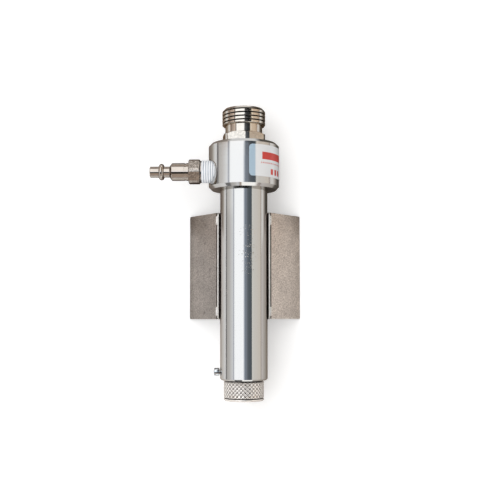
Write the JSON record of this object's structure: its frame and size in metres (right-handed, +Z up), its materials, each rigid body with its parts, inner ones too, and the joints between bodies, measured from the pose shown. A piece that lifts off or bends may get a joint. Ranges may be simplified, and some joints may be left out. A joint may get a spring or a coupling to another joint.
{
  "type": "vortex tube",
  "caption": "Vortex tube cooler: turned head with threaded cold outlet and side air plug, long outer tube on a winged bracket, knurled hot end knob.",
  "frame": {"origin": "centre of the cold outlet's mouth, on the tube's axis", "axes": "+Y leaves the cold outlet's mouth along the tube, +Z is up when the tube lies on its back, +X is to the right of the inlet plug's side"},
  "size_m": [0.0907, 0.1756, 0.0425],
  "materials": {
    "turned_aluminium": "bright turned",
    "drawn_aluminium": "bright drawn tube",
    "nickel_brass": "nickel plated brass, warm",
    "plated_steel": "nickel plated steel",
    "ptfe_tape": "white sealing tape",
    "sheet_steel": "mill finish stainless sheet",
    "weld_metal": "bright weld bead",
    "knurled_aluminium": "diamond knurled",
    "screw_steel": "zinc plated",
    "brass": "turned",
    "thin_steel": "drawn",
    "spring_steel": "phosphated",
    "seal_rubber": "matte",
    "felt": "felt",
    "label_film": "satin printed film"
  },
  "bodies": {
    "housing": {"head_body": "turned_aluminium", "cold_outlet_fitting": "nickel_brass", "outlet_seal": "seal_rubber", "orifice_seal": "seal_rubber", "cold_orifice": "brass", "vortex_generator": "brass", "hot_tube": "thin_steel", "hot_tube_seal": "seal_rubber", "outer_tube": "drawn_aluminium", "insulation_sleeve": "felt", "swirl_breaker": "thin_steel", "valve_seat": "brass", "valve_carrier": "brass", "retaining_clip": "spring_steel", "stop_screw": "screw_steel", "inlet_plug": "plated_steel", "thread_tape": "ptfe_tape", "tube_saddle": "sheet_steel", "left_wing": "sheet_steel", "right_wing": "sheet_steel", "tack_welds": "weld_metal", "saddle_screws": "screw_steel", "label": "label_film"},
    "knob": {"control_knob": "knurled_aluminium", "friction_ring": "seal_rubber"},
    "valve": {"valve_stem": "brass"}
  },
  "joints": [
    {"name": "knob_turn", "type": "hinge", "parent": "housing", "child": "knob", "pos_m": [0, -0.1698, 0], "axis": [0, -1, 0], "range_deg": [0, 300]},
    {"name": "valve_lift", "type": "slide", "parent": "knob", "child": "valve", "axis": [0, -1, 0], "range_m": [0, 0.00209]}
  ],
  "couplings": [
    {"joint": "valve_lift", "follows": "knob_turn", "m_per_rad": 0.00039789}
  ]
}
